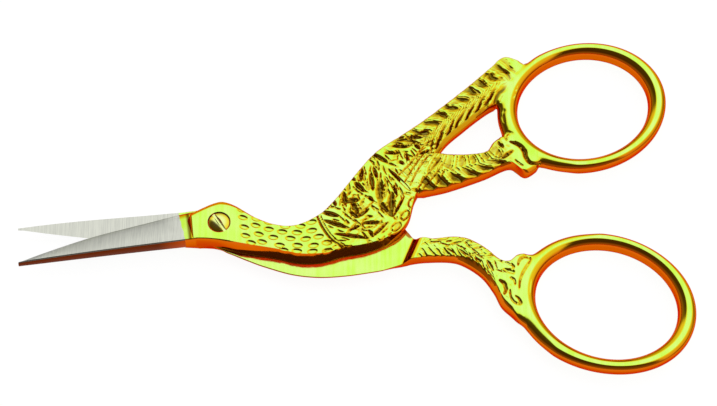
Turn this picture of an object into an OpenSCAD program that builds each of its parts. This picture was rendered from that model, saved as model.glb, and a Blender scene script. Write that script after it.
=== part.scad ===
// Stork embroidery scissors, about 89 mm long, drawn open at their resting angle.
// Two forged halves lie face to face and turn on one slotted screw, the stork's eye.
// Origin: the pivot axis where it meets the underside of the rear half. +Z is up.
// Blades point to -X, finger rings lie to +X. All sizes are millimetres.

/* [Overall] */
// Pivot to the tips of the blades
blade_length = 26.8; // [20:0.1:40]
// Pivot to the far side of the lower finger ring, for which the outlines are drawn
handle_length = 62.6; // [53:0.1:76]

/* [Halves] */
// Thickness of each half where they lie on each other
half_thick = 2.1; // [1.6:0.05:3]
// Thickness of the wing, which straddles the joint plane
wing_thick = 2.8; // [2.3:0.05:4]
// Thickness of the two legs, which straddle the joint plane
leg_thick = 2.5; // [2.2:0.05:3.6]
// Length of the slope where a half steps up to the full thickness
step_run = 1.5; // [0.8:0.1:3]

/* [Blades] */
// Thickness of a blade's back at its tip
tip_thick = 0.95; // [0.6:0.05:1.6]
// Height of the cutting bevel of each blade
edge_bevel_high = 0.4; // [0.2:0.05:0.8]
// Width of the cutting bevel of each blade
edge_bevel_wide = 0.55; // [0.3:0.05:1]
// Width of the small chamfer along each blade's back
back_chamfer = 0.2; // [0.1:0.02:0.4]

/* [Finger rings] */
// Half length of the upper ring, at the middle of its bar
upper_ring_long = 10.15; // [8:0.05:13]
// Half width of the upper ring, at the middle of its bar
upper_ring_short = 8.7; // [7:0.05:11]
// Half length of the lower ring, at the middle of its bar
lower_ring_long = 10.7; // [8.5:0.05:13.5]
// Half width of the lower ring, at the middle of its bar
lower_ring_short = 8.8; // [7:0.05:11.5]
// Width of a ring's bar at its long sides
bar_wide = 1.85; // [1.4:0.05:3]
// Width of a ring's bar at its two ends
bar_end_wide = 2.45; // [1.5:0.05:3.4]
// Height of a ring's bar
bar_high = 2.25; // [1.8:0.05:3.2]
// How far a ring's bar swells outwards where it meets its leg
root_swell = 0.5; // [0:0.05:0.8]

/* [Screw] */
// Diameter of the screw's shank
shank_dia = 2.0; // [1.5:0.05:2.4]
// Diameter of the screw's head
head_dia = 2.96; // [2.6:0.02:3.4]
// How deep the head sits in the front half
head_sink = 0.8; // [0.5:0.05:1.1]
// Height of the head's dome above the front half
head_dome = 0.34; // [0.2:0.02:0.6]
// Width of the screwdriver slot
slot_wide = 0.55; // [0.3:0.05:0.8]
// Depth of the screwdriver slot
slot_deep = 0.5; // [0.3:0.05:0.7]
// Turn of the slot, seen from above
slot_turn = -50; // [-90:1:90]

/* [Clearances] */
// Gap between the two halves' inner faces
face_gap = 0.05; // [0.02:0.01:0.12]
// Gap round the shank in the front half
shank_gap = 0.03; // [0.01:0.01:0.08]
// Gap round and under the screw's head
head_gap = 0.05; // [0.02:0.01:0.1]
// How far the shank's end stays inside the rear half's underside
end_inset = 0.15; // [0.05:0.01:0.3]

/* [Hidden] */

gold = "#d8e84a";
brass = "#e6cf3c";

// Levels: the rear half lies on z = 0, the front half on top of it
rear_top = half_thick;
front_low = half_thick + face_gap;
front_top = front_low + half_thick;
joint_plane = (rear_top + front_low) / 2;

// Plan outlines are drawn for a handle of this length and grow with it
drawn_length = 62.6;
plan = handle_length / drawn_length;

// Places where the rings' long axes start on the legs, the tilt of those axes, and how
// far round the ring from there its bar swells most
upper_ring_root = [39.1, 15.4] * plan;
upper_ring_tilt = 17;
upper_swell_turn = 0;
lower_ring_root = [41.0, -7.1] * plan;
lower_ring_tilt = -20.6;
lower_swell_turn = 45;

// Stork from head to wing tip: the edge along its back, then the edge along its belly
stork_back = [
    [-4.6, 0.9], [-3.8, 1.4], [-2.2, 2.3], [-0.7, 3.0], [0.5, 3.2], [2.2, 2.5], [4.8, 0.8],
    [7.6, -0.3], [10.3, -0.3], [13.2, 1.2], [15.2, 3.3], [16.9, 5.7], [18.8, 8.4],
    [21.0, 11.1], [24.4, 13.8], [28.4, 17.0], [32.8, 20.8], [36.2, 23.9],
    [38.3, 25.5], [41.0, 25.0]];
stork_belly = [
    [-4.2, -2.6], [-3.4, -2.5], [-2.0, -2.5], [-0.8, -2.6], [0.6, -2.8], [2.5, -3.2], [5.0, -3.7],
    [7.7, -4.2], [10.8, -4.9], [13.8, -4.8], [16.6, -3.8], [19.6, -3.0], [22.4, -1.9],
    [24.7, 0.1], [26.0, 4.6], [29.4, 11.4], [32.8, 15.0], [36.2, 17.8],
    [37.8, 18.2], [39.0, 17.4]];

// Front leg, from inside the body to the upper ring: upper edge, then lower edge
front_leg_upper = [
    [24.6, 9.6], [28.2, 11.0], [30.6, 10.9], [33.2, 10.9], [35.5, 11.3], [36.6, 12.8], [38.9, 14.7]];
front_leg_lower = [
    [23.4, 3.2], [26.6, 4.8], [30.4, 5.8], [35.2, 7.6], [38.9, 9.3], [41.0, 8.0], [43.3, 9.7]];

// Rear half from the pivot plate down its curved shank: upper edge, then lower edge
shank_upper = [
    [-4.6, 2.6], [-2.4, 2.9], [0.2, 3.1], [2.6, 2.0], [5.0, 0.2], [8.0, -1.4], [11.5, -2.0],
    [15.5, -1.6], [19.5, -0.4], [22.6, 0.6], [24.1, 0.6], [25.0, -0.4], [26.1, -1.6],
    [28.2, -1.7], [31.2, -1.4], [33.2, -1.8], [35.3, -3.1],
    [37.1, -4.7], [38.4, -4.9], [39.6, -4.0], [41.7, -3.8]];
shank_lower = [
    [-4.6, -2.4], [-2.6, -2.4], [-0.7, -2.7], [1.2, -3.1], [3.6, -4.05], [6.6, -5.2], [10.0, -6.25],
    [13.5, -6.65], [17.0, -6.45], [20.0, -6.0], [21.9, -5.65], [23.3, -5.35], [24.8, -5.05],
    [27.2, -4.7], [30.6, -4.7], [32.6, -5.4], [34.7, -7.0],
    [36.2, -9.2], [37.2, -11.3], [38.7, -12.85], [40.4, -14.8]];

// Places along the outlines, counted in edge points. Where the halves step to full
// thickness on their inner side:
front_step = 13.67;
rear_step = 11.65;
leg_step = 0.67;
// Where the neck ends, the body's edges are fully rounded and the wing starts:
neck_end = 10;
body_full = 12.5;
wing_start = 14.5;
// Where the shank's underside stops being flat and the rear leg has its own thickness:
shank_end = 9;
leg_full = 13;
// Distance between neighbouring edge points there
front_pitch = 4.3;
rear_pitch = 1.5;
leg_pitch = 3.2;

// Blades in plan: the cutting edge and the back, from the heel at the pivot to the tip
front_edge = [[-3.0, 2.6], [-10.4, 0.65], [-17.4, -1.4], [-23.0, -3.5], [-26.2, -4.85]];
front_back = [[-3.0, -2.5], [-10.4, -3.4], [-17.4, -4.3], [-23.0, -5.05], [-26.4, -5.5]];
rear_edge = [[-3.0, -2.85], [-10.4, -2.1], [-17.4, -1.35], [-22.6, -0.7], [-26.7, -0.1]];
rear_back = [[-3.0, 2.6], [-10.4, 1.95], [-17.4, 1.3], [-22.6, 0.7], [-26.8, 0.1]];
drawn_blade = 26.8;
blade_heel = 3.0;

// Rounding of the edges: how far in from the side, then how far down from the face
crisp = [0.12, 0.15];
soft = [0.4, 1.2];
undercut = [0.9, 1.4];
sloped = [1.6, 1.9];
corner_angles = [0, 30, 60, 90];
steps_between = 3;
ring_steps = 60;
bar_sides = 14;
bar_squareness = 0.85;
round_steps = 64;
cut_margin = 1;
melt = 0.1;
// Blunt land of a cutting edge: its width, then its height
land = [0.03, 0.06];
// Largest share of a side that its rounding may take
round_limit = 0.48;
// Share of a half's thickness by which the pivot plate's nose is lower than its face
nose_drop = 0.45;
// Height of a leg's end, to either side of the joint plane, as a share of a bar's height
leg_end_share = 0.42;

// One value of a smooth curve through four neighbours, at t from 0 to 1
function blend_at(a, b, c, d, t) =
    b + t / 2 * (c - a + t * (2 * a - 5 * b + 4 * c - d + t * (3 * (b - c) + d - a)));

// Smooth open curve through the points, with a number of steps from each to the next
function smooth(p, steps) = let (last = len(p) - 1)
    [for (i = [0 : last * steps])
        let (k = min(floor(i / steps), last - 1), t = i / steps - k)
        blend_at(p[max(k - 1, 0)], p[k], p[k + 1], p[min(k + 2, last)], t)];

// Cross-section between two edge points, with the rounding of its low and high edges
function section(a, b, low, high, low_round, high_round) =
    let (wide = norm(b - a), along = (b - a) / wide, tall = high - low,
         lr = [min(low_round[0], wide * round_limit), min(low_round[1], tall * round_limit)],
         hr = [min(high_round[0], wide * round_limit), min(high_round[1], tall * round_limit)],
         n = len(corner_angles) - 1,
         at = function (s, z) [a[0] + along[0] * s, a[1] + along[1] * s, z],
         inset = function (r, i) r[0] * (1 - cos(corner_angles[i])),
         drop = function (r, i) r[1] * (1 - sin(corner_angles[i])))
    concat(
        [for (i = [0 : n]) at(inset(hr, i), high - drop(hr, i))],
        [for (i = [n : -1 : 0]) at(wide - inset(hr, i), high - drop(hr, i))],
        [for (i = [0 : n]) at(wide - inset(lr, i), low + drop(lr, i))],
        [for (i = [n : -1 : 0]) at(inset(lr, i), low + drop(lr, i))]);

// Solid through a row of cross-sections that all have the same number of points
module loft(rows, closed = false) {
    count = len(rows);
    sides = len(rows[0]);
    spans = closed ? count : count - 1;
    walls = [for (i = [0 : spans - 1], j = [0 : sides - 1])
        let (a = i * sides + j,
             b = i * sides + (j + 1) % sides,
             c = ((i + 1) % count) * sides + (j + 1) % sides,
             d = ((i + 1) % count) * sides + j)
        each [[a, c, b], [a, d, c]]];
    caps = closed ? [] : [
        [for (j = [0 : sides - 1]) j],
        [for (j = [sides - 1 : -1 : 0]) (count - 1) * sides + j]];
    polyhedron([for (row = rows) each row], concat(walls, caps), convexity = 6);
}

// Solid between two edges; tables give the levels and the rounding along them
module strip(upper, lower, lows, highs, low_rounds, high_rounds) {
    a = smooth(upper, steps_between);
    b = smooth(lower, steps_between);
    loft([for (i = [0 : len(a) - 1])
        let (at = i / steps_between)
        section(a[i] * plan, b[i] * plan, lookup(at, lows), lookup(at, highs),
            [lookup(at, low_rounds[0]), lookup(at, low_rounds[1])],
            [lookup(at, high_rounds[0]), lookup(at, high_rounds[1])])]);
}

// Rounding that goes from one kind to another between two places along a strip
function rounding(first, from, next, to) = [for (k = [0, 1]) [[from, first[k]], [to, next[k]]]];

function signed_power(v, e) = sign(v) * pow(abs(v), e);

// Oval ring with a softly squared bar, its long axis starting at the root; its outer side
// swells where it meets its leg
module finger_ring(root, tilt, long, short, swell_turn) {
    centre = root + long * [cos(tilt), sin(tilt)];
    translate([centre[0], centre[1], joint_plane])
        rotate([0, 0, tilt])
            loft([for (i = [0 : ring_steps - 1])
                let (t = 360 * i / ring_steps,
                     place = [long * cos(t), short * sin(t)],
                     across = [cos(t) / long, sin(t) / short],
                     out = across / norm(across),
                     wide = bar_wide + (bar_end_wide - bar_wide) * pow(cos(t), 2),
                     swell = root_swell * pow(max(-cos(t - swell_turn), 0), 3))
                [for (j = [0 : bar_sides - 1])
                    let (f = -360 * j / bar_sides,
                         half = wide / 2 + (cos(f) > 0 ? swell : 0),
                         s = half * signed_power(cos(f), bar_squareness),
                         z = bar_high / 2 * signed_power(sin(f), bar_squareness))
                    [place[0] + out[0] * s, place[1] + out[1] * s, z]]],
                closed = true);
}

// Blade with its flat inner face on a level; side is 1 for the face below, -1 for above
module blade(edge, back, inner, side) {
    stretch = blade_length / drawn_blade;
    reach = function (p) [-blade_heel + (p[0] + blade_heel) * stretch, p[1]];
    e = smooth(edge, 2);
    b = smooth(back, 2);
    loft([for (i = [len(e) - 1 : -1 : 0])
        let (u = reach(e[i]), v = reach(b[i]), wide = norm(v - u), along = (v - u) / wide,
             share = i / (len(e) - 1),
             tall = half_thick + (tip_thick - half_thick) * share,
             bevel = min(edge_bevel_wide, wide * round_limit),
             rise = min(edge_bevel_high, tall * round_limit),
             chamfer = min(back_chamfer, wide * round_limit / 2),
             at = function (s, h) [u[0] + along[0] * s, u[1] + along[1] * s, inner + side * h])
        [at(0, 0), at(land[0], land[1]), at(bevel, rise), at(wide - chamfer, tall),
         at(wide, tall - chamfer), at(wide, 0)]]);
}

module bore(dia, low, high) {
    translate([0, 0, low]) cylinder(h = high - low, d = dia, $fn = round_steps);
}

// Upper layer: lower blade, head, neck, body, wing and leg of the stork, upper ring
module front_half() {
    low_wing = joint_plane - wing_thick / 2;
    top_wing = joint_plane + wing_thick / 2;
    low_leg = joint_plane - leg_thick / 2;
    top_leg = joint_plane + leg_thick / 2;
    end_high = bar_high * leg_end_share;
    step_end = front_step + step_run / front_pitch;
    last = len(stork_back) - 1;
    leg_last = len(front_leg_upper) - 1;
    color(gold) difference() {
        union() {
            blade(front_edge, front_back, front_low, 1);
            strip(stork_back, stork_belly,
                [[front_step, front_low], [step_end, low_wing]],
                [[0, front_top - half_thick * nose_drop], [1, front_top], [neck_end, front_top],
                 [wing_start, top_wing], [last - 2, top_wing], [last, joint_plane + end_high]],
                rounding(crisp, neck_end, undercut, body_full),
                rounding(crisp, body_full, soft, wing_start));
            strip(front_leg_upper, front_leg_lower,
                [[leg_step, front_low], [leg_step + step_run / leg_pitch, low_leg],
                 [leg_last - 1, low_leg], [leg_last, joint_plane - end_high]],
                [[leg_last - 1, top_leg], [leg_last, joint_plane + end_high]],
                rounding(soft, 0, soft, 1), rounding(soft, 0, soft, 1));
            finger_ring(upper_ring_root, upper_ring_tilt, upper_ring_long, upper_ring_short,
                upper_swell_turn);
        }
        bore(shank_dia + 2 * shank_gap, front_low - cut_margin, front_top + cut_margin);
        bore(head_dia + 2 * head_gap, front_top - head_sink, front_top + cut_margin);
    }
}

// Lower layer: upper blade, pivot plate, curved shank, feathered leg, lower ring
module rear_half() {
    low_leg = joint_plane - leg_thick / 2;
    top_leg = joint_plane + leg_thick / 2;
    end_high = bar_high * leg_end_share;
    step_end = rear_step + step_run / rear_pitch;
    last = len(shank_upper) - 1;
    color(gold) difference() {
        union() {
            blade(rear_edge, rear_back, rear_top, -1);
            strip(shank_upper, shank_lower,
                [[0, half_thick * nose_drop], [1, 0], [shank_end, 0], [leg_full, low_leg],
                 [last - 1, low_leg], [last, joint_plane - end_high]],
                [[rear_step, rear_top], [step_end, top_leg],
                 [last - 1, top_leg], [last, joint_plane + end_high]],
                rounding(sloped, shank_end, soft, leg_full),
                rounding(crisp, step_end, soft, leg_full));
            finger_ring(lower_ring_root, lower_ring_tilt, lower_ring_long, lower_ring_short,
                lower_swell_turn);
        }
        bore(shank_dia, -cut_margin, rear_top + cut_margin);
    }
}

// Slotted, domed screw: fast in the rear half, the front half turns on it
module pivot_screw() {
    seat = front_top - head_sink + head_gap;
    rim = front_top;
    dome_radius = (pow(head_dia / 2, 2) + pow(head_dome, 2)) / (2 * head_dome);
    crown = rim + head_dome;
    color(brass) difference() {
        union() {
            bore(shank_dia, end_inset, seat + melt);
            bore(head_dia, seat, rim);
            intersection() {
                translate([0, 0, crown - dome_radius]) sphere(r = dome_radius, $fn = round_steps);
                bore(head_dia, rim - melt, crown + cut_margin);
            }
        }
        rotate([0, 0, slot_turn])
            translate([-head_dia, -slot_wide / 2, crown - slot_deep])
                cube([2 * head_dia, slot_wide, slot_deep + cut_margin]);
    }
}

rear_half();
front_half();
pivot_screw();
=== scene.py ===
import math
from functools import partial

import bpy
import numpy as np
from mathutils import Matrix, Vector


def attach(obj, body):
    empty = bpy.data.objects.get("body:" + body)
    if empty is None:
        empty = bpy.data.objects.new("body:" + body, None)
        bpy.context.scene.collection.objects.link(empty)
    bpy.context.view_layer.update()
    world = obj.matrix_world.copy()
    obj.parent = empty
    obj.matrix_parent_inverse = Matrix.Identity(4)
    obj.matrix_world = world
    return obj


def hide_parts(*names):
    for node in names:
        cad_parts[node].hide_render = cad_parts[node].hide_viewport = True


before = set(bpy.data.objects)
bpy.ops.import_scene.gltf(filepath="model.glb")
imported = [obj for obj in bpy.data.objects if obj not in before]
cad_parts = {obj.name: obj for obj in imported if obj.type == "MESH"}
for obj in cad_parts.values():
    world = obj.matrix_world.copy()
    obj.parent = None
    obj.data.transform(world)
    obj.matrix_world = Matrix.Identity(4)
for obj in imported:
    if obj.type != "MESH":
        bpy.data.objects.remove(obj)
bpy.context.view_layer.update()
millimetre = 0.001

print("stork scissors: frame loaded")


# Colours are written as sRGB hex and turned linear here
def linearColour(hexText):
    parts = [int(hexText[i:i + 2], 16) / 255 for i in (1, 3, 5)]
    return [c / 12.92 if c <= 0.04045 else ((c + 0.055) / 1.055) ** 2.4 for c in parts] + [1]


# Adds a node with its inputs, by name or in their order, and its settings. A kind in capitals
# is a Math node's operation, and stops are a ramp's. As an input, a node or a socket becomes a
# link and a hex colour turns linear.
def addNode(tree, kind, *inputs, **settings):
    if kind.isupper():
        kind, settings = "Math", {"operation": kind}
    prefixes = (tree.bl_idname[:-4], "ShaderNode", "")
    node = tree.nodes.new(next(p + kind for p in prefixes if hasattr(bpy.types, p + kind)))
    if "stops" in settings:
        stops, elements = settings.pop("stops"), node.color_ramp.elements
        while len(elements) < len(stops):
            elements.new(0.5)
        for element, (place, colour) in zip(elements, stops):
            element.position = place
            element.color = linearColour(colour) if isinstance(colour, str) else [colour] * 3 + [1]
    for name, value in settings.items():
        setattr(node, name, value)
    given = inputs[0] if inputs and isinstance(inputs[0], dict) else dict(enumerate(inputs))
    for name, value in given.items():
        if isinstance(value, bpy.types.Node):
            value = value.outputs[0]
        elif isinstance(value, str) and value.startswith("#"):
            value = linearColour(value)
        if isinstance(value, bpy.types.NodeSocket):
            tree.links.new(value, node.inputs[name])
        else:
            node.inputs[name].default_value = value
    return node


def smoothStep(low, high, value):
    t = np.clip((value - low) / (high - low), 0, 1)
    return t * t * (3 - 2 * t)


# 1 in the middle: rises from a to b and falls again from c to d
def between(value, a, b, c, d):
    return smoothStep(a, b, value) * (1 - smoothStep(c, d, value))


# Smooth curve through the points, read at any places along it
def smoothLine(points, at):
    p = np.array(points, float)
    last = len(p) - 1
    k = np.clip(np.floor(at).astype(int), 0, last - 1)
    t = (at - k)[:, None]
    a, b, c, d = p[np.maximum(k - 1, 0)], p[k], p[k + 1], p[np.minimum(k + 2, last)]
    return b + t / 2 * (c - a + t * (2 * a - 5 * b + 4 * c - d + t * (3 * (b - c) + d - a)))


def readTable(at, table):
    table = np.array(table, float)
    return np.interp(at, table[:, 0], table[:, 1])


# Places along a strip so that its rows lie as close together as the table says
def rowPlaces(upper, lower, spacing):
    fine = np.linspace(0, len(upper) - 1, 8001)
    a, b = smoothLine(upper, fine), smoothLine(lower, fine)
    steps = [np.hypot(*np.diff(line, axis=0).T) for line in (a, (a + b) / 2, b)]
    step = (steps[0] + 2 * steps[1] + steps[2]) / 4
    share = step / readTable((fine[1:] + fine[:-1]) / 2, spacing)
    count = np.concatenate([[0], np.cumsum(share)])
    return np.interp(np.linspace(0, count[-1], int(round(count[-1])) + 1), count, fine)


def newObject(name, data):
    piece = bpy.data.objects.new(name, data)
    bpy.context.scene.collection.objects.link(piece)
    return piece


def readPoints(piece):
    values = np.zeros(len(piece.data.vertices) * 3, np.float32)
    piece.data.vertices.foreach_get("co", values)
    return values.reshape(-1, 3).astype(float)


def writePoints(piece, points):
    piece.data.vertices.foreach_set("co", points.astype(np.float32).ravel())
    piece.data.update()


def putAttribute(piece, name, values):
    attributes = piece.data.attributes
    attribute = attributes.get(name) or attributes.new(name, "FLOAT", "POINT")
    attribute.data.foreach_set("value", np.ascontiguousarray(values, np.float32).ravel())


def readAttribute(piece, name):
    values = np.zeros(len(piece.data.vertices), np.float32)
    piece.data.attributes[name].data.foreach_get("value", values)
    return values


# Turns a closed shell's faces outwards
def fixWinding(piece):
    mesh = piece.data
    mesh.calc_loop_triangles()
    corners = np.zeros(len(mesh.loop_triangles) * 3, np.int32)
    mesh.loop_triangles.foreach_get("vertices", corners)
    p = readPoints(piece)[corners.reshape(-1, 3)]
    if np.einsum("ij,ij->", p[:, 0], np.cross(p[:, 1], p[:, 2])) < 0:
        mesh.flip_normals()


# Closed shell through rows of cross-sections; every row has the same number of points
def meshFromRows(name, rows):
    count, sides = rows.shape[:2]
    i, j = np.meshgrid(np.arange(count - 1), np.arange(sides), indexing="ij")
    here, there, right = i * sides, (i + 1) * sides, (j + 1) % sides
    quads = np.stack([here + j, there + j, there + right, here + right], -1).reshape(-1, 4)
    ends = [list(range(sides)), list(range(count * sides - 1, (count - 1) * sides - 1, -1))]
    mesh = bpy.data.meshes.new(name)
    mesh.from_pydata(rows.reshape(-1, 3).tolist(), [], quads.tolist() + ends)
    mesh.update()
    piece = newObject(name, mesh)
    fixWinding(piece)
    return piece


# The evaluated object becomes a plain mesh, and its modifiers go
def bakeModifiers(piece):
    graph = bpy.context.evaluated_depsgraph_get()
    mesh = bpy.data.meshes.new_from_object(
        piece.evaluated_get(graph), preserve_all_data_layers=True, depsgraph=graph)
    piece.modifiers.clear()
    old = piece.data
    piece.data = mesh
    bpy.data.meshes.remove(old)
    return piece


# Even, repeatable grain: -1 to 1, with grains of the given size
def grain(x, y, size, seed):
    side = 97    # cells of the lattice, which repeats far outside the piece
    lattice = np.random.default_rng(seed).uniform(-1, 1, (side, side))
    u, v = x / size + 500, y / size + 500
    i, j = np.floor(u).astype(int), np.floor(v).astype(int)
    s, t = smoothStep(0, 1, u - i), smoothStep(0, 1, v - j)
    corners = [[lattice[(i + di) % side, (j + dj) % side] for di in (0, 1)] for dj in (0, 1)]
    near, far = (left * (1 - s) + right * s for left, right in corners)
    return near * (1 - t) + far * t


# Short chisel strokes that lie in one direction, 0 to 1
def strokes(x, y, degrees, length, wide, seed):
    c, s = math.cos(math.radians(degrees)), math.sin(math.radians(degrees))
    u, v = x * c + y * s, -x * s + y * c
    bend = 0.25 * grain(x, y, 1.3, seed + 50)
    return np.clip(grain(u * wide / length, v + bend, wide, seed), 0, 1)


# Depth of leaf-shaped chisel cuts; a leaf is its two tips and its width, in mm
def leafCuts(x, y, leaves, depth, wall):
    found = np.zeros_like(x)
    for x0, y0, x1, y1, wide in leaves:
        run = math.hypot(x1 - x0, y1 - y0)
        ux, uy = (x1 - x0) / run, (y1 - y0) / run
        reach = wide * 0.22    # the chisel's tip runs on a little
        u = ((x - x0) * ux + (y - y0) * uy + reach) / (run + 2 * reach)
        v = -(x - x0) * uy + (y - y0) * ux
        inside = np.clip(u, 0, 1)
        half = wide / 2 * np.power(np.clip(4 * inside * (1 - inside), 0, 1), 0.62)
        found = np.maximum(found, depth * np.clip((half - np.abs(v)) / (wide * wall), 0, 1))
    return found


# Depth of a cut that follows a line of points; it thins out at both ends
def lineCuts(x, y, points, wide, depth, taper=1.0):
    p = smoothLine(points, np.linspace(0, len(points) - 1, 8 * (len(points) - 1) + 1))
    nearest, place, last = np.full(x.shape, 1e9), np.zeros_like(x), len(p) - 1
    for k in range(last):
        d = p[k + 1] - p[k]
        t = np.clip(((x - p[k][0]) * d[0] + (y - p[k][1]) * d[1]) / (d @ d), 0, 1)
        away = np.hypot(x - p[k][0] - t * d[0], y - p[k][1] - t * d[1])
        closer = away < nearest
        nearest, place = np.where(closer, away, nearest), np.where(closer, (k + t) / last, place)
    half = wide / 2 * (1 - taper + taper * np.power(np.clip(4 * place * (1 - place), 0, 1), 0.4))
    return depth * np.clip(1 - nearest / np.maximum(half, 1e-6), 0, 1)


# What both halves and the front leg share unless they say otherwise. A table's first number
# is a station along the outline's points, the second a size in mm or a share.
stripShape = {
    "lowIn": [[0, 0.4]], "lowDrop": [[0, 1.2]],      # lower corners, in and up
    "farIn": [[0, 0.4]], "farDrop": [[0, 1.2]],      # top corner on the upper edge
    "flat": [[0, 0]], "farFlat": [[0, 0]],           # 1 makes a top corner a straight chamfer
    "push": [[0, 0]], "lean": [[0, 0]],              # lower wall out, and its lean
    "cornerPoints": 6, "underColumns": 8,
}


# Solid between an upper and a lower edge, with rounded corners, as the forging has it
def makeStrip(name, ownShape):
    shape = {**stripShape, **ownShape}
    at = rowPlaces(shape["upper"], shape["lower"], shape["rowSpacing"])
    a, b = smoothLine(shape["upper"], at), smoothLine(shape["lower"], at)
    wide = np.hypot(*(b - a).T)
    along = (b - a) / wide[:, None]
    low, high, lowIn, highIn, farIn, lowDrop, highDrop, farDrop, flat, farFlat = (
        readTable(at, shape[key]) for key in (
            "lows", "highs", "lowIn", "highIn", "farIn", "lowDrop", "highDrop", "farDrop",
            "flat", "farFlat"))
    push, lean, crown, spine = (
        readTable(at, shape[key])[:, None] for key in ("push", "lean", "crown", "spine"))
    tall = high - low
    limit = 0.48    # a corner takes up less than half of the width or the height
    lowIn, highIn, farIn = (np.minimum(v, wide * limit) for v in (lowIn, highIn, farIn))
    lowDrop = np.minimum(lowDrop, tall * limit)
    highDrop, farDrop = (np.minimum(v, tall - lowDrop - 0.1) for v in (highDrop, farDrop))
    turns = np.radians(np.linspace(0, 90, shape["cornerPoints"]))
    places, heights, weights = [], [], []

    def column(s, z, weight):
        places.append(s)
        heights.append(z)
        weights.append(np.full(len(at), weight))

    # How far in and down a corner is at a turn, 0 on the wall and 90 degrees on the face
    def corner(turn, flatShare=0):
        line = turn / (math.pi / 2)
        return ((1 - flatShare) * (1 - np.cos(turn)) + flatShare * line,
                (1 - flatShare) * (1 - np.sin(turn)) + flatShare * (1 - line))

    for turn in turns:
        inset, drop = corner(turn, farFlat)
        column(farIn * inset, high - farDrop * drop, np.sin(turn) ** 2)
    for share in np.linspace(0, 1, shape["columns"] + 2)[1:-1]:
        column(farIn + share * (wide - farIn - highIn), high, 1.0)
    for turn in turns[::-1]:
        inset, drop = corner(turn, flat)
        column(wide - highIn * inset, high - highDrop * drop, np.sin(turn) ** (4 + 26 * flat))
    for turn in turns:
        inset, drop = corner(turn)
        column(wide - lowIn * inset, low + lowDrop * drop, 0.0)
    for share in np.linspace(1, 0, shape["underColumns"] + 2)[1:-1]:
        column(lowIn + share * (wide - 2 * lowIn), low, 0.0)
    for turn in turns[::-1]:
        inset, drop = corner(turn)
        column(lowIn * inset, low + lowDrop * drop, 0.0)

    s, z, weight = (np.stack(v, 1) for v in (places, heights, weights))
    share = s / wide[:, None]
    # The wall may lean in below the lower edge, which then stands out a little
    sunk = np.clip((high - highDrop)[:, None] - z, 0, None) / (tall - highDrop)[:, None]
    s = s + smoothStep(0.3, 0.9, share) * (push - lean * sunk)
    z = z - weight * crown * (2 * share - 1) ** 2
    plan = a[:, None, :] + along[:, None, :] * s[:, :, None]
    piece = meshFromRows(name, np.concatenate([plan, z[:, :, None]], -1))
    length = np.concatenate([[0], np.cumsum(np.hypot(*np.diff((a + b) / 2, axis=0).T))])
    x, y = plan[..., 0], plan[..., 1]
    wave = shape["barbWave"] * (grain(x, y, 1.1, 21) + 0.5 * grain(x, y, 0.45, 22))
    values = {
        "top": weight, "along": length[:, None] + wave, "across": (spine - share) * wide[:, None],
        "spread": np.where(share < spine, (spine - share) / spine, (share - spine) / (1 - spine)),
        "station": np.repeat(at[:, None], s.shape[1], 1), "depth": np.zeros_like(s)}
    for label, value in values.items():
        putAttribute(piece, label, value)
    return piece


# Geometry Nodes tree whose inputs have these names and first values
def newTree(name, sockets):
    tree = bpy.data.node_groups.new(name, "GeometryNodeTree")
    tree.interface.new_socket("Geometry", in_out="INPUT", socket_type="NodeSocketGeometry")
    kinds = {float: "NodeSocketFloat", int: "NodeSocketInt", type(None): "NodeSocketObject"}
    for label, value in sockets.items():
        kind = kinds.get(type(value), "NodeSocketMaterial")
        socket = tree.interface.new_socket(label, in_out="INPUT", socket_type=kind)
        if isinstance(value, (float, int)):
            socket.default_value = value
    tree.interface.new_socket("Geometry", in_out="OUTPUT", socket_type="NodeSocketGeometry")
    return tree


# Gives a piece the tree, with its inputs set by their identifiers
def useTree(piece, tree, values):
    modifier = piece.modifiers.new(tree.name, "NODES")
    modifier.node_group = tree
    for item in tree.interface.items_tree:
        if item.in_out == "INPUT" and item.name in values:
            modifier[item.identifier] = values[item.name]


# Ends every tree: real geometry in its metal
def endTree(add, geometry, material):
    real = add("RealizeInstances", geometry)
    add("NodeGroupOutput", add("SetMaterial", {"Geometry": real, "Material": material}))


# Pushes the surface down and notes the depth, which the metal's colour reads for its painted shade
def finishCut(add, geometry, depth, material, shadeScale=1.0):
    before = add("InputNamedAttribute", "depth")
    total = add("ADD", before, add("MULTIPLY", depth, shadeScale))
    noted = add("StoreNamedAttribute", {"Geometry": geometry, "Name": "depth", "Value": total})
    down = add("CombineXYZ", {"Z": add("MULTIPLY", depth, -1.0)})
    moved = add("SetPosition", {"Geometry": noted, "Offset": down})
    endTree(add, moved, material)


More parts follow.
